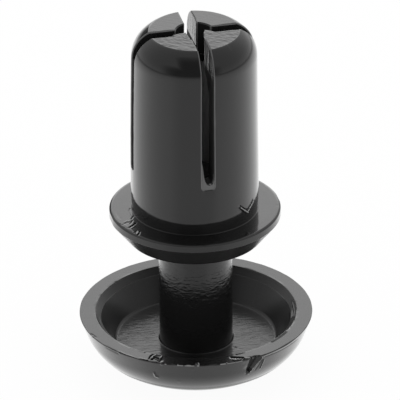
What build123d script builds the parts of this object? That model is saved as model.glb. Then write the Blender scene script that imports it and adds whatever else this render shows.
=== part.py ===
"""Two-piece plastic push rivet: a slotted socket and the headed pin that is pressed up into it.

The rivet stands on its head, with its axis on Z and the crown of the head at the origin.  Every
section below is a half outline, given as (distance from the axis, height), in mm.
"""
from build123d import *
import os
from math import cos, radians, sin, sqrt

# --- socket: flange, shank and fingers --------------------------------------------------------
flange_diameter = 8.60
flange_thickness = 1.50
flange_edge_round = 0.30       # round on the flange's upper edge
flange_edge_height = 0.38      # from the flange's top face down to the start of its conical side
flange_foot_diameter = 6.82    # small end of the conical side
shank_root_diameter = 6.40     # plain collar, which fills the panel's hole
shank_end_diameter = 6.30      # the fingers above the collar taper down to this
shank_length = 9.77            # flange top face to tip
shoulder_radius = 1.50         # rounded lead-in of the finger tips
shoulder_sweep = 65.5          # degrees of that arc, before the flat tip cuts it off
collar_height = 2.53           # unslotted stretch of shank above the flange
slot_width = 0.63
slot_floor_flat = 0.39         # flat left on a slot's floor between its two rounded corners
slot_count = 4                 # slots round the shank, which part it into as many fingers
tip_hole_diameter = 1.90
finger_tip_thickness = 2.60    # height of the tips below which the bore widens
bore_mouth_chamfer = 0.20

# --- pin: shaft and domed head ----------------------------------------------------------------
shaft_diameter = 3.70
shaft_foot_fillet = 0.10
exposed_shaft = 5.95           # shaft showing between recess floor and flange, which is the travel
head_height = 3.10             # crown land to rim
rim_width = 0.80
flank_draft = 20.0             # degrees, of the straight stretch under the rim
corner_radius = 2.70           # between flank and crown
crown_radius = 9.50
crown_land_diameter = 3.84     # small flat on the crown
recess_edge_step = 0.30        # small bevel at the mouth of the recess
recess_floor_fillet = 0.20

# --- clearances -------------------------------------------------------------------------------
shaft_clearance = 0.04         # radial, shaft in bore
seat_clearance = 0.05          # pin's taper to the fingers' inner ramp, fully home
nest_gap_mouth = 0.775         # radial, flange to the mouth of the recess
nest_gap_floor = 0.64           # radial, flange foot to the floor of the recess
rim_proud = 0.05               # rim beyond the flange's face, fully home

# --- radii that follow ------------------------------------------------------------------------
flange_radius = flange_diameter / 2
flange_foot_radius = flange_foot_diameter / 2
shank_root_radius = shank_root_diameter / 2
shank_end_radius = shank_end_diameter / 2
tip_radius = shank_end_radius - shoulder_radius * (1 - cos(radians(shoulder_sweep)))
tip_hole_radius = tip_hole_diameter / 2
shaft_radius = shaft_diameter / 2
bore_radius = shaft_radius + shaft_clearance
slot_end_round = (slot_width - slot_floor_flat) / 2
recess_mouth_radius = flange_radius + nest_gap_mouth
recess_floor_radius = flange_foot_radius + nest_gap_floor
head_radius = recess_mouth_radius + rim_width
crown_land_radius = crown_land_diameter / 2

# --- heights that follow, with the head's crown at zero ---------------------------------------
recess_floor_z = head_height - rim_proud - flange_thickness
flange_foot_z = recess_floor_z + exposed_shaft
flange_top_z = flange_foot_z + flange_thickness
tip_z = flange_top_z + shank_length
shoulder_z = tip_z - shoulder_radius * sin(radians(shoulder_sweep))
slot_floor_z = flange_top_z + collar_height
ramp_z = tip_z - finger_tip_thickness
shaft_end_z = ramp_z - exposed_shaft - seat_clearance


def turned(outline):
    """The solid swept by a closed half outline, stood upright, about Z."""
    return revolve(Plane.XZ * outline, Axis.Z)


def at(radius, height):
    """A point of a half outline."""
    return Vector(radius, height)


def rounded(outline, corner, radius):
    """The outline with its vertex nearest to a corner rounded."""
    vertex = outline.vertices().sort_by_distance(corner)[0]
    return fillet(vertex, radius)


def head_outside():
    """Crown land, spherical crown, corner round and flank, from the axis out to the rim."""
    draft = radians(flank_draft)
    rim = at(head_radius, head_height)
    down_flank = at(-sin(draft), -cos(draft))
    into_head = at(-cos(draft), sin(draft))
    crown_centre = at(0, sqrt(crown_radius**2 - crown_land_radius**2))
    # the corner's centre is slid along the flank until its arc meets the crown's arc tangentially
    start = rim + corner_radius * into_head - crown_centre
    along = start.dot(down_flank)
    flank_length = sqrt(along**2 - start.length**2 + (crown_radius - corner_radius) ** 2) - along
    flank_foot = rim + flank_length * down_flank
    outward = (flank_foot + corner_radius * into_head - crown_centre).normalized()
    land_edge = at(crown_land_radius, 0)
    crown_edge = crown_centre + crown_radius * outward
    return [
        Line(at(0, 0), land_edge),
        RadiusArc(land_edge, crown_edge, -crown_radius),
        RadiusArc(crown_edge, flank_foot, -corner_radius),
        Line(flank_foot, rim),
    ]


def make_pin():
    """Domed head with a conical recess, and the shaft that stands in the recess."""
    taper = shaft_radius - tip_hole_radius
    shaft_foot = at(shaft_radius, recess_floor_z)
    floor_corner = at(recess_floor_radius, recess_floor_z)
    inside = Polyline(
        at(head_radius, head_height),
        at(recess_mouth_radius, head_height),
        at(recess_mouth_radius - recess_edge_step, head_height - recess_edge_step),
        floor_corner,
        shaft_foot,
        at(shaft_radius, shaft_end_z),
        at(shaft_radius - taper, shaft_end_z + taper),
        at(0, shaft_end_z + taper),
        at(0, 0),
    )
    outline = make_face(head_outside() + inside.edges())
    outline = rounded(outline, floor_corner, recess_floor_fillet)
    outline = rounded(outline, shaft_foot, shaft_foot_fillet)
    return turned(outline)


def slot_cutters():
    """The blades that cut the slots: each lies across the whole shank and opens at the tip."""
    height = tip_z - slot_floor_z + slot_width
    blade = Box(4 * shank_root_radius, slot_width, height, align=(Align.CENTER, Align.CENTER, Align.MIN))
    floor_edges = blade.edges().filter_by(Axis.X).group_by(Axis.Z)[0]
    blade = Pos(0, 0, slot_floor_z) * fillet(floor_edges, slot_end_round)
    return [Rot(0, 0, 360 / slot_count * turn) * blade for turn in range(slot_count // 2)]


def make_socket():
    """Flange and hollow shank, slotted into fingers whose tips close in round a small hole."""
    ramp_height = bore_radius - tip_hole_radius
    foot_mouth = at(bore_radius + bore_mouth_chamfer, flange_foot_z)
    tip_edge = at(tip_radius, tip_z)
    shoulder = at(shank_end_radius, shoulder_z)
    collar_top = at(shank_root_radius, slot_floor_z)
    collar_foot = at(shank_root_radius, flange_top_z)
    edge_top = at(flange_radius - flange_edge_round, flange_top_z)
    edge_side = at(flange_radius, flange_top_z - flange_edge_round)
    inside = Polyline(
        foot_mouth,
        at(bore_radius, flange_foot_z + bore_mouth_chamfer),
        at(bore_radius, ramp_z),
        at(tip_hole_radius, ramp_z + ramp_height),
        at(tip_hole_radius, tip_z),
        tip_edge,
    )
    flange_side = Polyline(
        edge_side,
        at(flange_radius, flange_top_z - flange_edge_height),
        at(flange_foot_radius, flange_foot_z),
        foot_mouth,
    )
    outside = [
        RadiusArc(tip_edge, shoulder, shoulder_radius),
        Line(shoulder, collar_top),
        Line(collar_top, collar_foot),
        Line(collar_foot, edge_top),
        RadiusArc(edge_top, edge_side, flange_edge_round),
    ]
    return turned(make_face(inside.edges() + outside + flange_side.edges())) - slot_cutters()


os.makedirs("parts", exist_ok=True)
for name, make in (("pin", make_pin), ("socket", make_socket)):
    export_step(make(), f"parts/{name}.step")
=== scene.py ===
"""Blender dressing of the two-piece plastic push rivet: both mouldings, finish, floor, light and camera.

Lengths are mm until a mesh is made, and metres in the floor, light and camera.  An azimuth is measured
about the rivet's axis in degrees: 0 faces the camera, and it grows to the right of the picture.
"""
import math
import random
from collections import namedtuple

import bpy
import numpy as np
from mathutils import Matrix, Vector, noise


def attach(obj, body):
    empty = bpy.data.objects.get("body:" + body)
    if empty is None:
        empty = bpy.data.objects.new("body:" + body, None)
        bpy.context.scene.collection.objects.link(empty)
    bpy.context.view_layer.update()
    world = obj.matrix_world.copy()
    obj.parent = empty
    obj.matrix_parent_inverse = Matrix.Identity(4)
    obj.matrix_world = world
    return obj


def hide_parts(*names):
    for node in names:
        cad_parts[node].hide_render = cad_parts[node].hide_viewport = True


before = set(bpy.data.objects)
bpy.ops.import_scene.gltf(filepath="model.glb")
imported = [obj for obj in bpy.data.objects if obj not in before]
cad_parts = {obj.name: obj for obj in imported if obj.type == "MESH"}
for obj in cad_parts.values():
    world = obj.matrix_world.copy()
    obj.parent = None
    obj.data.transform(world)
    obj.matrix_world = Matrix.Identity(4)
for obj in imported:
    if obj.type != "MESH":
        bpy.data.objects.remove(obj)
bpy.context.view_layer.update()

MM = 0.001
TAU = 2 * math.pi
CAMERA_SIDE = 12.4             # degrees from the model's -Y round to the camera

# --- the CAD model's own sizes ----------------------------------------------------------------
FLANGE_R = 4.30
FLANGE_FOOT_R = 3.41
FLANGE_FOOT_Z = 7.50
FLANGE_TOP_Z = 9.00
FLANGE_EDGE_HEIGHT = 0.38
COLLAR_R = 3.20
SHANK_END_R = 3.15
SLOT_FLOOR_Z = 11.53
SHOULDER_R = 1.50
SHOULDER_SWEEP = math.radians(65.5)
TIP_Z = 18.77
TIP_HOLE_R = 0.95
RAMP_Z = 16.17
BORE_R = 1.89
BORE_CHAMFER = 0.20
SLOT_HALF = 0.315
SLOT_END_ROUND = 0.12
FINGERS = 4

SHAFT_R = 1.85
SHAFT_END_Z = 10.17
HEAD_R = 5.875
RIM_Z = 3.10
RECESS_MOUTH_R = 5.075
RECESS_STEP = 0.30
RECESS_FLOOR_R = 4.05
RECESS_FLOOR_Z = 1.55
RECESS_FLOOR_FILLET = 0.20
FLANK_DRAFT = math.radians(20.0)
CORNER_R = 2.70
CROWN_R = 9.50
LAND_R = 1.92

SHOULDER_Z = TIP_Z - SHOULDER_R * math.sin(SHOULDER_SWEEP)
RAMP_TOP_Z = RAMP_Z + BORE_R - TIP_HOLE_R
PIN_END_Z = SHAFT_END_Z + SHAFT_R - TIP_HOLE_R

EDGE = 0.03                    # round left on a moulded edge
SLOT_EDGE = 0.06               # and on the edges of a slot
SHAFT_FOOT_FILLET = 0.07       # a little tighter than the CAD model's
SHANK_FOOT_FILLET = 0.03
SHANK_FOOT_RELIEF = 0.04       # the collar necks in by this just above the flange


# --- outlines ---------------------------------------------------------------------------------
def arc(centre, radius, start, stop, count):
    """Points on an arc from one angle to another, both in radians."""
    angles = np.linspace(start, stop, count)
    return [(centre[0] + radius * math.cos(a), centre[1] + radius * math.sin(a)) for a in angles]


def spaced(start, stop, step, fine=()):
    """Values from start to stop, a step apart or closer inside a fine window (low, high, step)."""
    values = [start]
    while values[-1] < stop - 1e-9:
        here = values[-1]
        gap = min([step] + [window[2] for window in fine if window[0] <= here < window[1]])
        gap = min([gap] + [window[0] - here for window in fine if here < window[0] < here + gap])
        values.append(min(here + gap, stop))
    return values


def soften(corners):
    """A polyline of (r, z, round, step) corners with each one rounded.

    The run that leads to a corner is divided by its step, with a close row at either end.
    """
    guard = 0.03               # from a corner to the close row beside it
    out = []
    for i, (r, z, round_, step) in enumerate(corners):
        here = np.array([r, z])
        pieces = [here]
        if round_ > 0:
            back, ahead = np.array(corners[i - 1][:2]) - here, np.array(corners[i + 1][:2]) - here
            back, ahead = back / np.linalg.norm(back), ahead / np.linalg.norm(ahead)
            half = math.acos(max(-1, min(1, float(back @ ahead)))) / 2
            cut = round_ / math.tan(half)
            centre = here + (back + ahead) / np.linalg.norm(back + ahead) * round_ / math.sin(half)
            p, q = here + back * cut - centre, here + ahead * cut - centre
            start = math.atan2(p[1], p[0])
            turn = (math.atan2(q[1], q[0]) - start + math.pi) % TAU - math.pi
            count = max(3, int(abs(turn) / math.radians(16)) + 2)
            pieces = [np.array(point) for point in arc(centre, round_, start, start + turn, count)]
        if out and np.linalg.norm(pieces[0] - out[-1]) > 4 * guard:
            last, gap = out[-1], np.linalg.norm(pieces[0] - out[-1])
            a, b = last + (pieces[0] - last) * guard / gap, pieces[0] + (last - pieces[0]) * guard / gap
            count = max(1, int((gap - 2 * guard) / step))
            out += [a + (b - a) * t for t in np.linspace(0, 1, count + 1)]
        out += pieces
    return [tuple(map(float, point)) for point in out]


def head_outside():
    """The head's crown and corner, as points from the axis to the foot of its flank."""
    rim = np.array([HEAD_R, RIM_Z])
    down = np.array([-math.sin(FLANK_DRAFT), -math.cos(FLANK_DRAFT)])
    inward = np.array([-math.cos(FLANK_DRAFT), math.sin(FLANK_DRAFT)])
    crown = np.array([0, math.sqrt(CROWN_R**2 - LAND_R**2)])
    start = rim + CORNER_R * inward - crown
    along = float(start @ down)
    foot = rim + (math.sqrt(along**2 - float(start @ start) + (CROWN_R - CORNER_R) ** 2) - along) * down
    corner = foot + CORNER_R * inward
    angle = math.atan2(*(corner - crown)[::-1])
    points = [(0.0, 0.0), (LAND_R * 0.5, 0.0)]
    points += arc(crown, CROWN_R, math.atan2(-crown[1], LAND_R), angle, 12)
    return points + arc(corner, CORNER_R, angle, -FLANK_DRAFT, 32)[1:]


def pin_outline():
    """The pin's half outline, over the head from below, across the recess and up the shaft."""
    outside = head_outside()
    rest = soften(
        [
            (*outside[-1], 0, 1),
            (HEAD_R - 0.4 * math.tan(FLANK_DRAFT), RIM_Z - 0.4, 0, 0.05),
            (HEAD_R, RIM_Z, EDGE, 0.03),
            (HEAD_R - 0.25, RIM_Z, 0, 0.03),
            (RECESS_MOUTH_R + 0.12, RIM_Z, 0, 0.06),
            (RECESS_MOUTH_R, RIM_Z, EDGE, 0.04),
            (RECESS_MOUTH_R - RECESS_STEP, RIM_Z - RECESS_STEP, EDGE, 0.04),
            (RECESS_FLOOR_R, RECESS_FLOOR_Z, RECESS_FLOOR_FILLET, 0.15),
            (SHAFT_R, RECESS_FLOOR_Z, SHAFT_FOOT_FILLET, 0.12),
            (SHAFT_R, SHAFT_END_Z, EDGE, 0.5),
            (TIP_HOLE_R, PIN_END_Z, EDGE, 0.3),
            (0, PIN_END_Z, 0, 0.5),
        ]
    )
    return outside + rest[1:]


def ring_outline():
    """The socket below its slots, from the shank's skin round the flange and up the bore.

    The flange's upper edge is a lip with less of a round than the CAD model's.
    """
    top = SLOT_FLOOR_Z - SLOT_EDGE
    return soften(
        [
            (COLLAR_R, top, 0, 1),
            (COLLAR_R, 10.25, 0, 0.2),
            (COLLAR_R, 9.85, 0, 0.03),
            (COLLAR_R - 0.3 * SHANK_FOOT_RELIEF, 9.5, 0, 0.03),
            (COLLAR_R - 0.7 * SHANK_FOOT_RELIEF, 9.25, 0, 0.03),
            (COLLAR_R - SHANK_FOOT_RELIEF, FLANGE_TOP_Z, SHANK_FOOT_FILLET, 0.03),
            (FLANGE_R - 0.50, FLANGE_TOP_Z, 0, 0.03),
            (FLANGE_R - 0.16, FLANGE_TOP_Z - 0.005, 0, 0.04),
            (FLANGE_R - 0.07, FLANGE_TOP_Z - 0.02, 0, 0.04),
            (FLANGE_R - 0.01, FLANGE_TOP_Z - 0.06, EDGE, 0.04),
            (FLANGE_R, FLANGE_TOP_Z - FLANGE_EDGE_HEIGHT, EDGE, 0.05),
            (FLANGE_FOOT_R, FLANGE_FOOT_Z, EDGE, 0.15),
            (BORE_R + BORE_CHAMFER, FLANGE_FOOT_Z, EDGE, 0.2),
            (BORE_R, FLANGE_FOOT_Z + BORE_CHAMFER, 0.02, 0.2),
            (BORE_R, top, 0, 0.6),
        ]
    )


# --- places on the rivet ----------------------------------------------------------------------
DOME_R, DOME_Z = zip(*head_outside(), (HEAD_R, RIM_Z))


def polar(azimuth, r, z):
    """A point from its azimuth, distance from the axis and height."""
    angle = math.radians(azimuth - 90 - CAMERA_SIDE)
    return (r * math.cos(angle), r * math.sin(angle), z)


def shank_radius(z):
    """The skin's distance from the axis: collar, tapered fingers and rounded shoulder."""
    if z <= SLOT_FLOOR_Z:
        return COLLAR_R
    if z <= SHOULDER_Z:
        return COLLAR_R + (SHANK_END_R - COLLAR_R) * (z - SLOT_FLOOR_Z) / (SHOULDER_Z - SLOT_FLOOR_Z)
    return SHANK_END_R - SHOULDER_R + math.sqrt(SHOULDER_R**2 - (z - SHOULDER_Z) ** 2)


# points of the rivet's surfaces, from an azimuth and a distance from the axis, a height or both
def on_flange(azimuth, r):
    return polar(azimuth, r, FLANGE_TOP_Z)


def on_rim(azimuth, r):
    return polar(azimuth, r, RIM_Z)


def on_bevel(azimuth, r, below):
    return polar(azimuth, r, RIM_Z - below)


def on_floor(azimuth, r):
    return polar(azimuth, r, RECESS_FLOOR_Z)


def on_shank(azimuth, z):
    return polar(azimuth, shank_radius(z), z)


def on_dome(azimuth, z):
    return polar(azimuth, float(np.interp(z, DOME_Z, DOME_R)), z)


def in_slot_frame(slot, along, across, z):
    """A point given along and across a slot, counted round from the model's +X."""
    turn = slot * TAU / FINGERS
    c, s = math.cos(turn), math.sin(turn)
    return (along * c - across * s, along * s + across * c, z)


def on_slot_edge(slot, side, z):
    """A point of the skin where a slot is cut into it, on either side of the slot."""
    across = side * (SLOT_HALF + SLOT_EDGE / 3)
    return in_slot_frame(slot, math.sqrt(shank_radius(z) ** 2 - across**2), across, z)


# --- marks of moulding and handling -----------------------------------------------------------
Mark = namedtuple("Mark", "points width height")      # a ridge, or a groove if its height is negative


def press(verts, normals, marks):
    """The vertices moved along their normals by every mark that they lie near."""
    moved = verts.copy()
    for spots, width, height in marks:
        points, reach = np.array(spots), 3 * width
        boxed = (verts > points.min(0) - reach) & (verts < points.max(0) + reach)
        near = np.flatnonzero(boxed.all(axis=1))
        gap = np.full(len(near), np.inf)
        for a, b in zip(points, np.vstack([points[1:], points[-1:]])):
            run = b - a
            share = np.clip((verts[near] - a) @ run / max(run @ run, 1e-12), 0, 1)
            gap = np.minimum(gap, np.linalg.norm(verts[near] - a - share[:, None] * run, axis=1))
        moved[near] += normals[near] * (height * np.exp(-((gap / width) ** 2)))[:, None]
    return moved


def mark(place, width, height, *spots):
    """A mark through spots given as the numbers that a place function takes."""
    return Mark([place(*spot) for spot in spots], width, height)


def mark_round(place, width, height, azimuths, *level):
    """A mark that runs round the rivet through some azimuths, at one distance or height."""
    return mark(place, width, height, *((azimuth, *level) for azimuth in azimuths))


def nibbles(seed, place, low, high, count, length, height, highest=1):
    """Short ridges and grooves scattered along an edge, where place(t) gives the edge's point at t."""
    rng = random.Random(seed)
    marks = []
    for _ in range(count):
        start = rng.uniform(low, high)
        stop = min(high, start + rng.uniform(0.3, 1.0) * length)
        points = [place(t) for t in np.linspace(start, stop, 4)]
        marks.append(Mark(points, rng.uniform(0.02, 0.04), rng.uniform(-1, highest) * height))
    return marks


def pin_marks():
    """The pin's marks: gate scar, specks on the dome, knocks on the rim and at the recess's mouth."""
    gate = [
        mark(on_dome, 0.07, -0.10, (32.0, 3.08), (31.2, 2.80), (29.0, 2.40), (27.2, 2.16)),
        mark(on_dome, 0.12, -0.06, (30.2, 3.08), (29.2, 2.76), (27.4, 2.38)),
        mark(on_dome, 0.14, -0.03, (27.6, 3.08), (27.0, 2.82), (26.2, 2.50)),
        mark(on_dome, 0.14, -0.015, (25.2, 3.08), (25.0, 2.86)),
        mark(on_dome, 0.035, 0.075, (33.8, 2.98), (31.8, 2.73), (30.0, 2.42), (28.0, 2.10)),
        mark(on_dome, 0.04, -0.03, (34.6, 2.80), (33.0, 2.45), (31.8, 2.22)),
        mark(on_dome, 0.035, 0.05, (35.8, 2.76), (35.2, 2.41), (34.9, 2.21)),
    ]
    dome = [
        mark(on_dome, 0.05, 0.045, (-22.1, 2.34), (-21.8, 2.15), (-20.5, 2.09)),
        mark(on_dome, 0.045, 0.03, (-17.3, 3.05)),
        mark(on_dome, 0.05, 0.02, (-9.2, 1.93)),
        mark(on_dome, 0.04, 0.012, (-2.0, 2.17)),
        mark(on_dome, 0.04, 0.012, (-1.9, 2.84)),
        mark(on_dome, 0.035, -0.02, *((a, 2.95 - 0.002 * (a - 36)) for a in range(36, 62, 3))),
        mark_round(on_dome, 0.07, -0.025, range(-50, -41, 2), 3.02),
    ]
    rim = [
        mark(on_rim, 0.06, 0.04, (-62.5, 5.86)),
        mark(on_rim, 0.04, -0.02, (-64.5, 5.80), (-60.5, 5.75)),
        mark(on_rim, 0.035, 0.025, (-42, 5.80), (-38.2, 5.82)),
        mark(on_rim, 0.03, 0.015, (-36.5, 5.80), (-33, 5.82)),
        mark(on_rim, 0.035, 0.02, (-29.1, 5.78), (-25.4, 5.76)),
        mark(on_rim, 0.035, -0.035, (-24.5, 5.62), (-25.2, 5.31), (-24.9, 5.12), (-23.4, 5.00)),
        mark(on_rim, 0.04, 0.03, (-23.4, 5.14)),
        mark(on_rim, 0.05, 0.04, (-23.7, 5.60), (-23.6, 5.47)),
        mark(on_rim, 0.07, -0.03, (-22.8, 5.40), (-20.2, 5.50), (-18.5, 5.60)),
        mark(on_rim, 0.03, 0.025, (-19.5, 5.15), (-19.2, 5.43)),
        mark(on_rim, 0.03, 0.035, (-11.5, 5.84), (-8.9, 5.84)),
        mark(on_rim, 0.03, 0.035, (-4.5, 5.84), (-3.0, 5.84)),
        mark(on_rim, 0.03, 0.04, (-0.4, 5.84), (0.2, 5.62)),
        mark(on_rim, 0.035, 0.05, (0.9, 5.86), (0.8, 5.60)),
        mark(on_rim, 0.03, 0.03, (5.6, 5.83), (9.0, 5.83)),
        mark(on_rim, 0.03, 0.03, (12.0, 5.82), (14.8, 5.82)),
        mark(on_rim, 0.05, -0.04, (18.9, 5.34), (21.5, 5.47), (24.2, 5.60)),
        mark(on_rim, 0.035, 0.05, (19.3, 5.66), (23.0, 5.74)),
        mark(on_rim, 0.04, -0.04, (23.4, 5.80), (25.6, 5.86)),
        mark(on_rim, 0.035, 0.03, (25.1, 5.70), (27.3, 5.76)),
    ]
    mouth = [
        mark_round(on_rim, 0.025, 0.02, range(-88, -60, 4), 5.03),
        mark_round(on_bevel, 0.025, 0.02, range(-86, -54, 4), 4.86, 0.22),
        mark_round(on_rim, 0.025, -0.04, range(66, 100, 3), 5.05),
        mark_round(on_bevel, 0.025, -0.05, range(85, 98, 3), 4.87, 0.20),
        mark_round(on_bevel, 0.025, 0.04, range(83, 102, 3), 4.96, 0.12),
        mark_round(on_bevel, 0.025, 0.04, range(83, 95, 3), 4.79, 0.29),
        mark_round(on_rim, 0.03, 0.03, range(48, 66, 3), 5.08),
        mark_round(on_bevel, 0.03, 0.03, range(57, 66, 3), 4.90, 0.18),
        mark(on_floor, 0.07, -0.04, (86.2, 3.00)),
        mark(on_floor, 0.06, -0.04, (59.2, 2.30)),
    ]
    edges = nibbles(11, lambda t: on_rim(t, HEAD_R), -60, 60, 36, 6, 0.02)
    edges += nibbles(12, lambda t: on_rim(t, RECESS_MOUTH_R), -150, 150, 40, 14, 0.012)
    edges += nibbles(13, lambda t: on_rim(t, HEAD_R), 60, 300, 30, 8, 0.015)
    return gate + dome + rim + mouth + edges


def socket_marks():
    """The socket's marks: scuffs on the flange, the nick and specks on the shank, nibbled slots."""
    scuffs = [
        mark(on_flange, 0.03, -0.02, (-86, 3.26), (-83, 3.30), (-79, 3.39), (-75, 3.52)),
        mark(on_flange, 0.05, -0.01, (-73, 3.99)),
        mark(on_flange, 0.05, -0.01, (-71, 3.93)),
        mark(on_flange, 0.03, 0.012, (-64, 3.93), (-65.4, 3.73), (-64.5, 3.62)),
        mark(on_flange, 0.03, -0.012, (-61.5, 4.10), (-62.4, 3.88), (-62.2, 3.69)),
        mark(on_flange, 0.03, -0.015, (-59.9, 3.75), (-62, 3.56), (-64, 3.46)),
        mark(on_flange, 0.03, -0.015, (-67, 3.44), (-70.6, 3.25)),
        mark(on_flange, 0.03, 0.02, (-60.5, 3.55), (-58.6, 3.58)),
        mark(on_flange, 0.03, -0.04, (-55.6, 3.99), (-56.3, 3.78), (-57.6, 3.58), (-58.8, 3.44)),
        mark(on_flange, 0.03, 0.02, (-53.6, 3.93), (-54.8, 3.69)),
        mark(on_flange, 0.03, -0.012, (-47.4, 4.15), (-46.6, 4.08), (-48.2, 3.88)),
        mark(on_flange, 0.03, 0.025, (-44.2, 4.15), (-44.6, 4.05), (-46.1, 3.88)),
        mark(on_flange, 0.03, -0.03, (-42.8, 4.15), (-43.6, 4.05), (-45.1, 3.89)),
        mark_round(on_flange, 0.03, 0.006, range(-62, -48, 3), 4.02),
        mark_round(on_flange, 0.03, -0.006, range(-64, -48, 3), 4.14),
        mark(on_flange, 0.05, -0.01, (90, 4.12)),
    ]
    nick = [
        mark(on_shank, 0.035, -0.035, (44.4, 10.16), (49, 9.91), (53.5, 9.68)),
        mark(on_shank, 0.035, 0.07, (44.4, 10.07), (49, 9.82), (54, 9.59)),
        mark(on_shank, 0.035, 0.05, (54, 9.61), (59, 9.77), (64.7, 9.96)),
        mark(on_shank, 0.03, -0.03, (54.5, 9.71), (59, 9.87), (64, 10.06)),
    ]
    specks = [
        mark(on_shank, 0.035, -0.02, (34.7, 15.9)),
        mark(on_shank, 0.035, 0.015, (59.5, 12.44)),
        mark(on_shank, 0.04, 0.03, (18.6, 15.17)),
        mark(on_shank, 0.06, 0.03, (7.2, 12.76)),
        mark(on_shank, 0.05, 0.05, (-77.4, 12.09), (-77.5, 11.95)),
        mark(on_shank, 0.03, -0.02, (-76.0, 11.97), (-68.4, 11.87)),
        mark_round(on_shank, 0.03, -0.03, (8.5, 10.5, 12.5, 14.5, 16.5), 11.44),
    ]
    edges = []
    for slot in range(FINGERS):
        for side in (-1, 1):
            def skin_edge(z, slot=slot, side=side):
                return on_slot_edge(slot, side, z)

            def tip_edge(along, slot=slot, across=side * (SLOT_HALF + SLOT_EDGE / 3)):
                return in_slot_frame(slot, along, across, TIP_Z)

            seed = 10 * slot + side
            edges += nibbles(20 + seed, skin_edge, SLOT_FLOOR_Z + 0.3, TIP_Z - 0.3, 24, 0.7, 0.014)
            edges += nibbles(60 + seed, tip_edge, TIP_HOLE_R + 0.05, 2.2, 10, 0.3, 0.02, highest=0)
    return scuffs + nick + specks + edges


# --- meshes -----------------------------------------------------------------------------------
class Sheet:
    """Vertices and faces under construction, each face with the index of its finish."""

    def __init__(self):
        self.verts, self.faces, self.finish = [], [], []

    def add(self, point):
        self.verts.append(tuple(point))
        return len(self.verts) - 1

    def face(self, corners, finish=0):
        corners = [v for j, v in enumerate(corners) if v not in corners[:j]]
        if len(corners) > 2:
            self.faces.append(corners)
            self.finish.append(finish)

    def strip(self, low, high, finish=0, closed=False):
        """Faces between two rows of as many vertices, of one finish or with a list of them."""
        count = len(low)
        for j in range(count if closed else count - 1):
            n = (j + 1) % count
            self.face([low[j], low[n], high[n], high[j]], finish[j] if isinstance(finish, list) else finish)

    def build(self, name, finishes, body, marks, bend=None):
        """The object that stands for a CAD node, with its marks pressed in and then bent."""
        mesh = bpy.data.meshes.new(name)
        mesh.from_pydata(self.verts, [], self.faces)
        normals = np.empty(3 * len(self.verts))
        mesh.vertices.foreach_get("normal", normals)
        moved = press(np.array(self.verts), normals.reshape(-1, 3), marks)
        if bend:
            moved = bend(moved)
        mesh.vertices.foreach_set("co", (moved * MM).ravel())
        for material in finishes:
            mesh.materials.append(material)
        mesh.polygons.foreach_set("material_index", self.finish)
        mesh.polygons.foreach_set("use_smooth", [True] * len(self.faces))
        mesh.set_sharp_from_angle(angle=math.radians(38))
        mesh.validate()
        mesh.update()
        obj = bpy.data.objects.new(name, mesh)
        bpy.context.scene.collection.objects.link(obj)
        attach(obj, body)
        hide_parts(body)
        return obj


# places in the lists that pin_finishes and socket_finishes give, both of which start with the gloss
GLOSS, SHAFT, FLOOR, WALL, BEVEL, GATE, RIM_GLINT = range(7)
SLOT_PAINTED_LIGHT, TIP, EDGE_HIGHLIGHT, BORE_PAINTED_LIGHT, UNDER, SCUFFED, DRAGGED, STREAKED, HOLE, NICK_GLINT = range(1, 11)

# azimuths from and to which a highlight is painted on the rim's outer edge
RIM_GLINT_SPANS = (
    (-62.8, -62.0), (-15.8, -15.0), (-9.5, -6.4), (-5.9, -1.2),
    (0.2, 1.4), (11.5, 14.6), (15.1, 19.2), (19.7, 23.0),
)


def pin_finish(r, z):
    """The finish of the pin at a place on its outline."""
    if r < SHAFT_R + 0.005 and z > RECESS_FLOOR_Z + 0.1:
        return SHAFT
    if r < RECESS_FLOOR_R - 0.05 and z > RECESS_FLOOR_Z - 0.01:
        return FLOOR
    if r < RECESS_MOUTH_R - RECESS_STEP - 0.01 and z > RECESS_FLOOR_Z - 0.01:
        return WALL
    if RECESS_MOUTH_R - RECESS_STEP < r < RECESS_MOUTH_R - 0.02 and z < RIM_Z - 0.01:
        return BEVEL
    return GLOSS


def in_gate_scar(azimuth, r, z):
    """Whether a place lies in the three-cornered scar that the gate left under the rim."""
    below = RIM_Z - z
    left, right = 27.0 - 1.2 * below, 32.2 - 4.6 * below
    outside = r > RECESS_MOUTH_R - RECESS_STEP / 4
    return outside and 0.02 < below < 0.95 and left < azimuth < right


def on_rim_glint(azimuth, r, z):
    """Whether a place is on one of the painted highlights along the rim's outer edge."""
    on_edge = r > HEAD_R - 0.035 and z > RIM_Z - 0.04
    return on_edge and any(low < azimuth < high for low, high in RIM_GLINT_SPANS)


def pin_finish_at(azimuth, r, z):
    """The finish of the pin at a place, the gate's scar and the painted highlights on the rim's edge
    included.
    """
    if in_gate_scar(azimuth, r, z):
        return GATE
    return RIM_GLINT if on_rim_glint(azimuth, r, z) else pin_finish(r, z)


def make_pin(finishes):
    """The pin: its outline turned about the axis, with close columns where it is marked."""
    windows = [(-65, -62), (-43, -38), (-31, -15), (-10, 2), (11, 37)]
    columns = spaced(-180, 180, 1.0, [(low, high, 0.3) for low, high in windows])[:-1]
    outline = pin_outline()
    sheet = Sheet()
    rows = []
    for r, z in outline:
        if r < 1e-9:
            rows.append([sheet.add((0, 0, z))] * len(columns))
        else:
            rows.append([sheet.add(polar(azimuth, r, z)) for azimuth in columns])
    for i in range(len(rows) - 1):
        r, z = np.mean([outline[i], outline[i + 1]], axis=0)
        finish = [pin_finish_at(azimuth, r, z) for azimuth in columns]
        sheet.strip(rows[i], rows[i + 1], finish, closed=True)
    return sheet.build("pin_moulding", finishes, "pin", pin_marks())


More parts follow.
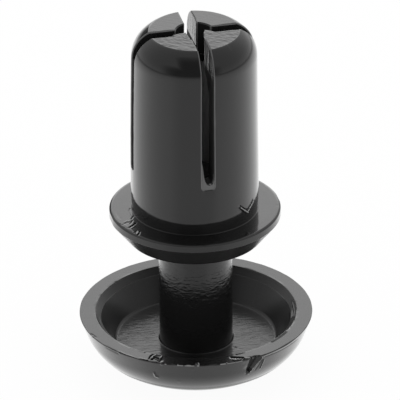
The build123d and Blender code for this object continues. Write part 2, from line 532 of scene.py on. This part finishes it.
NICK_AZIMUTH = 54.0            # foot of the V-shaped nick in the collar
NICK_Z = 9.61
NICK_REACH = (44.4, 64.7)      # azimuths of the ends of the nick's two arms
NICK_CLIMB = (0.050, 0.034)    # how far each arm climbs in a degree
DRAGGED_Z = 17.3               # the slots' walls shine above this, where the tool dragged along them
DRAGGED_SLOT = 1               # slot that shines all over there, where the others have streaks
WORN_TIPS = (2, 3)             # fingers with the duller tips, counted round from the model's +X
FINGER_LEAN = (0.05, 0.07, 0.07, 0.03)         # how far each tip leans to the right

# a row of a finger's skin: place, skin's normal, slot's half width and its wall's normal, finish
Row = namedtuple("Row", "r z nr nz gap across rise finish")


def finger_rows():
    """Rows of a finger's skin: up the outside, in over the tip, and up the bore."""
    corner_z = SLOT_FLOOR_Z + SLOT_END_ROUND
    flat = SLOT_HALF - SLOT_END_ROUND
    heights = [*np.arange(corner_z + 0.12, SHOULDER_Z - 0.1, 0.2)]
    heights += [z + side for z in (RAMP_Z, RAMP_TOP_Z) for side in (-0.02, 0.02)]
    foot = [
        (flat + SLOT_END_ROUND * across, corner_z + SLOT_END_ROUND * rise, across, rise)
        for across, rise in arc((0, 0), 1, -math.pi / 2, 0, 6)
    ]
    outer = [Row(shank_radius(z), z, 1, 0, gap, *wall, GLOSS) for gap, z, *wall in foot]
    outer += [Row(shank_radius(z), z, 1, 0, SLOT_HALF, 1, 0, GLOSS) for z in sorted(heights)]
    for a in np.linspace(0, SHOULDER_SWEEP, 19):
        r, z = SHANK_END_R - SHOULDER_R * (1 - math.cos(a)), SHOULDER_Z + SHOULDER_R * math.sin(a)
        outer.append(Row(r, z, math.cos(a), math.sin(a), SLOT_HALF, 1, 0, GLOSS))
    lower = (TIP_Z - SLOT_EDGE - SHOULDER_Z) / (TIP_Z - SHOULDER_Z)
    inner = []
    for row in outer:
        z = min(row.z, SHOULDER_Z + (row.z - SHOULDER_Z) * lower)
        sloped = RAMP_Z < z < RAMP_TOP_Z
        facing = (-math.sqrt(0.5), -math.sqrt(0.5)) if sloped else (-1, 0)
        r = min(BORE_R, max(TIP_HOLE_R, BORE_R - (z - RAMP_Z)))
        inner.append(Row(r, z, *facing, row.gap, row.across, row.rise, HOLE if z > RAMP_Z else BORE_PAINTED_LIGHT))
    tip_r = outer[-1].r
    hole_r = TIP_HOLE_R + SLOT_EDGE
    radii = [tip_r - 0.03, *np.linspace(tip_r - 0.1, hole_r + 0.06, 9), hole_r]
    top = [Row(r, TIP_Z, 0, 1, SLOT_HALF, 1, 0, TIP) for r in radii]
    return outer, top, inner


def finger_columns(finger):
    """Shares of the way round a finger, close where the flange and the shank are marked."""
    span = 360 / FINGERS
    windows = []
    for low, high, step in ((-93, -43, 0.5), (43, 66, 0.6)):
        start = (low - 90 - CAMERA_SIDE) % 360 - finger * span
        windows.append((start, start + high - low, step))
    return [0, 0.006] + [a / span for a in spaced(1.8, span - 1.8, 1.6, windows)] + [0.994, 1]


def finger_skin(sheet, finger, skin):
    """The lattice of a finger's skin; returns its rows of vertices."""
    grid = []
    shares = finger_columns(finger)
    for row in skin:
        start = math.asin((row.gap + SLOT_EDGE * row.across) / row.r)
        angles = [finger * TAU / FINGERS + start + (TAU / FINGERS - 2 * start) * t for t in shares]
        height = row.z + SLOT_EDGE * row.rise
        grid.append([sheet.add((row.r * math.cos(a), row.r * math.sin(a), height)) for a in angles])
    for low, high, row in zip(grid, grid[1:], skin):
        worn = row.finish == TIP and finger in WORN_TIPS
        sheet.strip(low, high, SCUFFED if worn else row.finish)
    return grid


def wall_finish(slot, z):
    """The finish of a slot's wall at a height."""
    if z < DRAGGED_Z:
        return SLOT_PAINTED_LIGHT
    return DRAGGED if slot == DRAGGED_SLOT else STREAKED


def slot_round(sheet, slot, side, skin_edge, skin):
    """The round between a finger's skin and the wall of a slot; returns its lines of vertices."""
    lines = [skin_edge]
    for phi in np.radians((22, 45, 68, 90)):          # from the skin round to the wall
        depth, clear = SLOT_EDGE * (1 - math.cos(phi)), SLOT_EDGE * (1 - math.sin(phi))
        line = []
        for row in skin:
            r, across = row.r - depth * row.nr, row.gap + clear * row.across
            along = math.sqrt(r * r - across * across)
            z = row.z + clear * row.rise - depth * row.nz
            line.append(sheet.add(in_slot_frame(slot, along, side * across, z)))
        lines.append(line)
    for near, far in zip(lines, lines[1:]):
        facing = (far, near) if side < 0 else (near, far)
        # the round's lighter grey is a painted highlight along the slot's edge
        sheet.strip(*facing, EDGE_HIGHLIGHT)
    return lines


def slot_wall(sheet, slot, side, border, height, width):
    """A slot's flat wall, so many vertices high and spaces wide; returns its rows of vertices.

    Its border runs up the outside, over the tip and down the bore.
    """
    up, over, down = border[:height], border[height:-height], border[-height:][::-1]
    rows = []
    for left, right in zip(up[:-1], down):
        start, stop = np.array(sheet.verts[left]), np.array(sheet.verts[right])
        between = [sheet.add(start + (stop - start) * step / width) for step in range(1, width)]
        rows.append([left, *between, right])
    rows.append([up[-1], *over, down[-1]])
    for low, high in zip(rows, rows[1:]):
        facing = (low, high) if side < 0 else (high, low)
        sheet.strip(*facing, wall_finish(slot, sheet.verts[low[0]][2]))
    return rows


def plate(sheet, outline, place, thickness, seed, finish, mottle):
    """A thin torn plate that narrows to its middle, where place(u, v, depth) gives its points."""
    rng = random.Random(seed)
    edge = []
    for a, b in zip(np.array(outline), np.array(outline[1:] + outline[:1])):
        count = max(1, int(np.linalg.norm(b - a) / 0.05))
        for share in np.arange(count) / count:
            edge.append(a + (b - a) * share + [rng.uniform(-0.012, 0.012) for _ in range(2)])
    middle = np.mean(edge, axis=0)
    rows = []
    for share in np.linspace(1, 0.1, 9):
        line = []
        for point in edge:
            u, v = middle + (point - middle) * share
            depth = mottle * (0.5 + 0.5 * noise.noise(Vector((u, v, seed)) * 9))
            line.append(sheet.add(place(u, v, depth + (0.015 if share == 1 else 0.004))))
        rows.append(line)
    under = [sheet.add(place(*point, thickness)) for point in edge]
    for low, high in zip([under] + rows, rows):
        sheet.strip(low, high, finish, closed=True)
    sheet.face(rows[-1], finish)
    sheet.face(under[::-1], finish)


def web(sheet):
    """A thin web left across the foot of the slot that faces the camera, under a crest like a U."""
    crest = [
        (-0.34, 13.1), (-0.27, 12.8), (-0.20, 12.11), (-0.13, 11.88), (-0.06, 11.76),
        (0.085, 11.71), (0.19, 11.73), (0.25, 11.80), (0.29, 12.0), (0.335, 12.25),
    ]
    across, heights = zip(*crest)
    foot = SLOT_FLOOR_Z - 0.02
    thickness, rises = 0.2, np.linspace(0, 1, 9)
    rows = []
    for depth, shares in ((0, rises), (thickness, rises[::-1])):
        for share in shares:
            line = []
            for u in np.linspace(across[0], across[-1], 28):
                z = foot + (float(np.interp(u, across, heights)) - foot) * share
                inset = 0.02 + 0.12 * (z - foot) + depth
                azimuth = CAMERA_SIDE + math.degrees(u / COLLAR_R)
                line.append(sheet.add(polar(azimuth, COLLAR_R - inset, z)))
            rows.append(line)
    for low, high in zip(rows, rows[1:] + rows[:1]):
        # the web's lighter grey is a painted highlight
        sheet.strip(low, high, EDGE_HIGHLIGHT)
    sheet.face([line[0] for line in rows], EDGE_HIGHLIGHT)
    sheet.face([line[-1] for line in rows][::-1], EDGE_HIGHLIGHT)


def flash(sheet):
    """Two torn plates of flash under the tip, which nearly close its hole."""
    def under_tip(u, v, depth):
        return (u, v, TIP_Z - depth)

    right_hand = [(1.0, -0.33), (0.85, -0.185), (0.535, 0.0), (0.40, -0.40), (0.33, -1.0), (0.76, -0.76)]
    left_hand = [
        (-0.95, -0.33), (-1.15, -0.20), (-0.80, -0.08), (-0.475, -0.045),
        (-0.43, -0.39), (-0.40, -1.0), (-0.33, -1.5), (-0.80, -0.80),
    ]
    plate(sheet, right_hand, under_tip, 0.09, 3, SCUFFED, 0.012)
    plate(sheet, left_hand[::-1], under_tip, 0.09, 4, SCUFFED, 0.03)


def leaning_fingers(verts):
    """The vertices with each finger leaning sideways, more so towards its tip."""
    root_z = SLOT_FLOOR_Z + SLOT_END_ROUND
    finger = (np.arctan2(verts[:, 1], verts[:, 0]) % TAU * FINGERS / TAU).astype(int) % FINGERS
    rise = np.clip((verts[:, 2] - root_z) / (TIP_Z - root_z), 0, 1)
    lean = np.outer(FINGER_LEAN, polar(90, 1, 0))
    return verts + lean[finger] * (rise**2)[:, None]


def ring_finish(r, z):
    """The finish of the unslotted part of the socket at a place on its outline."""
    if r < BORE_R + 0.01:
        return BORE_PAINTED_LIGHT
    if FLANGE_FOOT_Z + 0.05 < z < FLANGE_TOP_Z - FLANGE_EDGE_HEIGHT:
        return UNDER
    return GLOSS


def on_nick_glint(angle, z):
    """Whether a place is on the painted highlight along the nick in the collar, a shallow V."""
    azimuth = (math.degrees(angle) + 90 + CAMERA_SIDE + 180) % 360 - 180
    climb = NICK_CLIMB[azimuth > NICK_AZIMUTH]
    burr_z = NICK_Z + climb * abs(azimuth - NICK_AZIMUTH)
    return NICK_REACH[0] < azimuth < NICK_REACH[1] and abs(z - burr_z) < 0.03


def ring(sheet, start, stop):
    """The socket below its slots, from the fingers' feet outside to their feet in the bore."""
    angles, end_angles = [[math.atan2(*sheet.verts[v][1::-1]) for v in line] for line in (start, stop)]
    outline = ring_outline()
    rows = [start]
    for i, (r, z) in enumerate(outline[1:-1], start=1):
        line = []
        for a, b in zip(angles, end_angles):
            angle = a + ((b - a + math.pi) % TAU - math.pi) * i / (len(outline) - 1)
            line.append(sheet.add((r * math.cos(angle), r * math.sin(angle), z)))
        rows.append(line)
    rows.append(stop)
    for i, (low, high) in enumerate(zip(rows, rows[1:])):
        r, z = np.mean([outline[i], outline[i + 1]], axis=0)
        plain = ring_finish(r, z)
        # the nick's light line is a painted highlight
        finish = [NICK_GLINT if r > COLLAR_R - 0.1 and on_nick_glint(angle, z) else plain for angle in angles]
        sheet.strip(high, low, finish, closed=True)


def make_socket(finishes):
    """The socket: four slotted fingers on a ring with the flange."""
    outer, top, inner = finger_rows()
    skin = outer + top + inner[::-1]
    sheet = Sheet()
    skins = [finger_skin(sheet, finger, skin) for finger in range(FINGERS)]
    feet = {}
    for finger, grid in enumerate(skins):
        for slot, side, column in ((finger, 1, 0), ((finger + 1) % FINGERS, -1, -1)):
            lines = slot_round(sheet, slot, side, [line[column] for line in grid], skin)
            wall = slot_wall(sheet, slot, side, lines[-1], len(outer), len(top) + 1)
            out_foot, in_foot = [line[0] for line in lines], [line[-1] for line in lines]
            feet[slot, side] = out_foot + wall[0][1:-1] + in_foot[::-1]
    for slot in range(FINGERS):
        sheet.strip(feet[slot, 1], feet[slot, -1], SLOT_PAINTED_LIGHT)
    ring(sheet, *(sum([grid[row] for grid in skins], []) for row in (0, -1)))
    flash(sheet)
    web(sheet)
    return sheet.build("socket_moulding", finishes, "socket", socket_marks(), leaning_fingers)


# --- finish -----------------------------------------------------------------------------------
def radius_and_height(tree, source):
    """A place's distance from the axis and its height, as a vector's X and Z."""
    nodes, links = tree.nodes, tree.links
    split = nodes.new("ShaderNodeSeparateXYZ")
    flat = nodes.new("ShaderNodeVectorMath")
    flat.operation = "MULTIPLY"
    flat.inputs[1].default_value = (1, 1, 0)
    length = nodes.new("ShaderNodeVectorMath")
    length.operation = "LENGTH"
    section = nodes.new("ShaderNodeCombineXYZ")
    links.new(source, flat.inputs[0])
    links.new(source, split.inputs[0])
    links.new(flat.outputs[0], length.inputs[0])
    links.new(length.outputs["Value"], section.inputs["X"])
    links.new(split.outputs["Z"], section.inputs["Z"])
    return section.outputs[0]


def grain(tree, scale, stretch, amplitude, turn=0.0, radial=False):
    """A bump from noise: features per mm, how each axis is stretched, and a height in mm."""
    nodes, links = tree.nodes, tree.links
    source = nodes.new("ShaderNodeTexCoord").outputs["Object"]
    if radial:
        source = radius_and_height(tree, source)
    mapping = nodes.new("ShaderNodeMapping")
    mapping.vector_type = "TEXTURE"
    mapping.inputs["Scale"].default_value = [part * MM for part in stretch]
    mapping.inputs["Rotation"].default_value = (0, 0, math.radians(turn))
    texture = nodes.new("ShaderNodeTexNoise")
    texture.inputs["Scale"].default_value = scale
    bump = nodes.new("ShaderNodeBump")
    bump.inputs["Distance"].default_value = amplitude * MM
    links.new(source, mapping.inputs["Vector"])
    links.new(mapping.outputs[0], texture.inputs["Vector"])
    links.new(texture.outputs["Fac"], bump.inputs["Height"])
    return bump.outputs[0]


def plastic(name, roughness=0.16, coat=1.0, coat_roughness=0.06, grey=0.010, **texture):
    """Black moulded plastic with a bump from the texture's settings."""
    material = bpy.data.materials.new(name)
    material.use_nodes = True
    tree = material.node_tree
    shader = tree.nodes["Principled BSDF"]
    shader.inputs["Base Color"].default_value = (grey, grey, grey, 1)
    shader.inputs["Roughness"].default_value = roughness
    shader.inputs["IOR"].default_value = 1.8
    shader.inputs["Specular Tint"].default_value = (0, 0, 0, 1)
    shader.inputs["Coat Weight"].default_value = coat
    shader.inputs["Coat Roughness"].default_value = coat_roughness
    shader.inputs["Coat IOR"].default_value = 1.47
    bump = grain(tree, **texture)
    tree.links.new(bump, shader.inputs["Normal"])
    tree.links.new(bump, shader.inputs["Coat Normal"])
    return material


def streaked(material):
    """The material with a coat only along the streaks of its noise."""
    tree = material.node_tree
    shader = tree.nodes["Principled BSDF"]
    texture = next(node for node in tree.nodes if node.type == "TEX_NOISE")
    coat = ramp(tree, texture.outputs["Fac"], 0.48, 0.64, 0.0, 1.0)
    tree.links.new(coat, shader.inputs["Coat Weight"])
    shader.inputs["Specular IOR Level"].default_value = 0.18
    return material


def pin_finishes():
    """The pin's finishes, in the order of their names above."""
    return [
        plastic("pin_gloss", scale=0.7, stretch=(1, 1, 1), amplitude=0.004),
        plastic("shaft_ripple", scale=4.0, stretch=(1.1, 1.1, 0.5), amplitude=0.015),
        plastic(
            "recess_floor", roughness=0.4, coat_roughness=0.15,
            scale=5.0, stretch=(4.0, 0.7, 1.0), amplitude=0.02, turn=12 - CAMERA_SIDE,
        ),
        plastic(
            "recess_wall", roughness=0.4, coat=0.9, coat_roughness=0.25, grey=0.005,
            scale=9.0, stretch=(1, 1, 1), amplitude=0.003, radial=True,
        ),
        plastic(
            "recess_bevel", roughness=0.45, coat_roughness=0.35,
            scale=9.0, stretch=(1, 1, 1), amplitude=0.003, radial=True,
        ),
        plastic(
            "gate_scar", roughness=0.6, coat=0.0, grey=0.008,
            scale=9.0, stretch=(1, 1, 1), amplitude=0.01,
        ),
        # light grey: painted highlights on the rim's outer edge
        plastic(
            "rim_edge_painted_highlight", roughness=0.6, coat=0.0, grey=0.18,
            scale=9.0, stretch=(1, 1, 1), amplitude=0.01,
        ),
    ]


def socket_finishes():
    """The socket's finishes, in the order of their names above."""
    return [
        plastic("socket_gloss", scale=0.7, stretch=(1, 1, 1), amplitude=0.004),
        # rough, with a grey lighter than the plastic's: painted light on the slots' lower walls and floors
        plastic(
            "slot_wall", roughness=0.7, coat=0.0, grey=0.045,
            scale=6.0, stretch=(1, 1, 6), amplitude=0.01,
        ),
        plastic(
            "tip_flat", coat_roughness=0.1,
            scale=4.0, stretch=(0.8, 2.0, 1.0), amplitude=0.005, turn=60 - CAMERA_SIDE,
        ),
        # lighter grey: painted highlights on the slots' edges and on the web
        plastic(
            "edge_painted_highlight", roughness=0.35, coat_roughness=0.2, grey=0.09,
            scale=9.0, stretch=(1, 1, 1), amplitude=0.01,
        ),
        # pale grey: painted light in the bore, where little light reaches
        plastic(
            "bore", roughness=0.5, coat_roughness=0.4, grey=0.30,
            scale=6.0, stretch=(1, 1, 6), amplitude=0.01,
        ),
        plastic(
            "flange_side", roughness=0.4, coat_roughness=0.3, grey=0.020,
            scale=4.0, stretch=(1, 1, 1), amplitude=0.006,
        ),
        plastic(
            "tip_scuffed", roughness=0.3, coat_roughness=0.27,
            scale=5.0, stretch=(1.0, 2.0, 1.0), amplitude=0.03, turn=60 - CAMERA_SIDE,
        ),
        plastic(
            "slot_drag", roughness=0.35, coat=0.75, coat_roughness=0.12, grey=0.014,
            scale=6.0, stretch=(1, 1, 9), amplitude=0.035,
        ),
        streaked(plastic(
            "slot_streaks", roughness=0.4, coat_roughness=0.15,
            scale=7.0, stretch=(1, 1, 9), amplitude=0.04,
        )),
        plastic(
            "tip_hole", roughness=0.7, coat=0.0, grey=0.012,
            scale=6.0, stretch=(1, 1, 6), amplitude=0.01,
        ),
        # pale grey: painted highlight along the nick in the collar
        plastic(
            "nick_painted_highlight", roughness=0.5, coat=0.0, grey=0.35,
            scale=9.0, stretch=(1, 1, 1), amplitude=0.01,
        ),
    ]


# --- floor, light and camera ------------------------------------------------------------------
def heading(azimuth, elevation=0.0):
    """Unit vector towards an azimuth and elevation."""
    return polar(azimuth, math.cos(math.radians(elevation)), math.sin(math.radians(elevation)))


def ramp(tree, value, low, high, bottom, top):
    """A smooth step of a value."""
    node = tree.nodes.new("ShaderNodeMapRange")
    node.interpolation_type = "SMOOTHSTEP"
    for name, number in (("From Min", low), ("From Max", high), ("To Min", bottom), ("To Max", top)):
        node.inputs[name].default_value = number
    tree.links.new(value, node.inputs["Value"])
    return node.outputs[0]


def dot(tree, vector, direction):
    """How far a vector reaches in a direction."""
    node = tree.nodes.new("ShaderNodeVectorMath")
    node.operation = "DOT_PRODUCT"
    tree.links.new(vector, node.inputs[0])
    node.inputs[1].default_value = direction
    return node.outputs["Value"]


def combine(tree, operation, a, b=0.0):
    """A maths node on one or two sockets or numbers."""
    node = tree.nodes.new("ShaderNodeMath")
    node.operation = operation
    for socket, value in zip(node.inputs, (a, b)):
        if isinstance(value, (int, float)):
            socket.default_value = value
        else:
            tree.links.new(value, socket)
    return node.outputs[0]


def stage_floor():
    """A plain pale floor: the camera sees it white, with a little of the shadow that falls on it.

    In reflections it glows, less so far away and towards the camera.
    """
    half, shadow_share = 3.0, 0.05
    corners = [(-half, -half, 0), (half, -half, 0), (half, half, 0), (-half, half, 0)]
    mesh = bpy.data.meshes.new("floor")
    mesh.from_pydata(corners, [], [(0, 1, 2, 3)])
    floor = bpy.data.objects.new("floor", mesh)
    bpy.context.scene.collection.objects.link(floor)
    material = bpy.data.materials.new("pale_floor")
    material.use_nodes = True
    tree = material.node_tree
    nodes, links = tree.nodes, tree.links
    nodes.clear()
    output = nodes.new("ShaderNodeOutputMaterial")
    diffuse = nodes.new("ShaderNodeBsdfDiffuse")
    diffuse.inputs["Color"].default_value = (0.95, 0.95, 0.95, 1)
    glow = nodes.new("ShaderNodeEmission")
    path = nodes.new("ShaderNodeLightPath")
    outward = nodes.new("ShaderNodeVectorMath")
    outward.operation = "NORMALIZE"
    position = nodes.new("ShaderNodeNewGeometry").outputs["Position"]
    links.new(position, outward.inputs[0])
    distance = nodes.new("ShaderNodeVectorMath")
    distance.operation = "LENGTH"
    links.new(position, distance.inputs[0])
    far = ramp(tree, distance.outputs["Value"], 0.04, 0.30, 1.0, 0.42)
    front = ramp(tree, dot(tree, outward.outputs[0], heading(0)), 0.70, 0.97, 1.0, 0.82)
    shade = combine(tree, "MULTIPLY", far, front)
    links.new(combine(tree, "MAXIMUM", shade, path.outputs["Is Camera Ray"]), glow.inputs["Strength"])
    seen = combine(tree, "MULTIPLY", path.outputs["Is Camera Ray"], 1 - shadow_share)
    mirrored = combine(tree, "MAXIMUM", path.outputs["Is Glossy Ray"], path.outputs["Is Transmission Ray"])
    mix = nodes.new("ShaderNodeMixShader")
    links.new(combine(tree, "ADD", seen, mirrored), mix.inputs["Fac"])
    links.new(diffuse.outputs[0], mix.inputs[1])
    links.new(glow.outputs[0], mix.inputs[2])
    links.new(mix.outputs[0], output.inputs["Surface"])
    mesh.materials.append(material)


def studio():
    """The world: white to the camera and to matt surfaces.

    Reflections show a room that is palest at the horizon, with three dim patches: two in front,
    where the camera stands, and a smaller one behind to the left.
    """
    world = bpy.data.worlds.new("studio")
    bpy.context.scene.world = world
    world.use_nodes = True
    tree = world.node_tree
    nodes, links = tree.nodes, tree.links
    nodes.clear()
    output = nodes.new("ShaderNodeOutputWorld")
    direction = nodes.new("ShaderNodeTexCoord").outputs["Generated"]
    room, white = nodes.new("ShaderNodeBackground"), nodes.new("ShaderNodeBackground")
    for background in (room, white):
        background.inputs["Color"].default_value = (1, 1, 1, 1)
    path = nodes.new("ShaderNodeLightPath")
    mix = nodes.new("ShaderNodeMixShader")
    height = dot(tree, direction, (0, 0, 1))
    side = dot(tree, direction, heading(90))
    toward = dot(tree, direction, heading(0))
    front = ramp(tree, toward, 0.1, 0.3, 0.0, 1.0)
    back = ramp(tree, toward, -0.6, -0.4, 1.0, 0.0)

    def patch(within, centre_side, centre_height, half_side, half_height):
        """1 inside a soft-edged rectangle of the front or back, and 0 outside it."""
        away = []
        for value, centre, half in ((side, centre_side, half_side), (height, centre_height, half_height)):
            share = combine(tree, "DIVIDE", combine(tree, "SUBTRACT", value, centre), half)
            away.append(combine(tree, "POWER", combine(tree, "ABSOLUTE", share), 4))
        inside = ramp(tree, combine(tree, "ADD", *away), 0.05, 2.6, 1.0, 0.0)
        return combine(tree, "MULTIPLY", inside, within)

    sky = ramp(tree, height, -0.05, 0.35, 0.75, 0.60)
    tall = patch(front, -0.08, 0.45, 0.33, 0.46)
    wide = patch(front, -0.05, 0.05, 0.68, 0.43)
    behind = patch(back, -0.43, 0.20, 0.19, 0.18)
    dim = combine(tree, "MAXIMUM", combine(tree, "MAXIMUM", tall, wide), behind)
    light = combine(tree, "SUBTRACT", 1.0, combine(tree, "MULTIPLY", dim, 0.88))
    links.new(combine(tree, "MULTIPLY", sky, light), room.inputs["Strength"])
    plain = combine(tree, "MAXIMUM", path.outputs["Is Camera Ray"], path.outputs["Is Diffuse Ray"])
    links.new(plain, mix.inputs["Fac"])
    links.new(room.outputs[0], mix.inputs[1])
    links.new(white.outputs[0], mix.inputs[2])
    links.new(mix.outputs[0], output.inputs["Surface"])


def back_softbox():
    """A wide soft lamp low behind the rivet, which the level faces mirror."""
    width, height, distance, elevation, brightness = 0.28, 0.26, 0.50, 21, 0.78
    data = bpy.data.lights.new("back_softbox", "AREA")
    data.shape = "RECTANGLE"
    data.size, data.size_y = width, height
    data.energy = brightness * math.pi * width * height
    lamp = bpy.data.objects.new("back_softbox", data)
    bpy.context.scene.collection.objects.link(lamp)
    lamp.location = Vector(heading(180, elevation)) * distance
    lamp.rotation_euler = lamp.location.to_track_quat("Z", "Y").to_euler()


def camera():
    """Stands where the photograph was taken from."""
    distance, elevation, roll = 0.375, 27.55, -0.54
    width_seen = 0.020
    aim_right, aim_z = 0.255, 9.33
    toward, right = Vector(heading(0, elevation)), Vector(heading(90))
    target = right * aim_right * MM + Vector((0, 0, aim_z * MM))
    data = bpy.data.cameras.new("camera")
    data.sensor_width = 36
    data.lens = data.sensor_width * distance / width_seen
    data.clip_start = 0.01
    data.clip_end = 20
    obj = bpy.data.objects.new("camera", data)
    bpy.context.scene.collection.objects.link(obj)
    upright = Matrix((right, right.cross(-toward), toward)).transposed().to_4x4()
    turn = Matrix.Rotation(math.radians(roll), 4, "Z")
    obj.matrix_world = Matrix.Translation(target + toward * distance) @ upright @ turn
    bpy.context.scene.camera = obj


make_pin(pin_finishes())
make_socket(socket_finishes())
stage_floor()
studio()
back_softbox()
camera()
bpy.context.scene.view_settings.view_transform = "Standard"
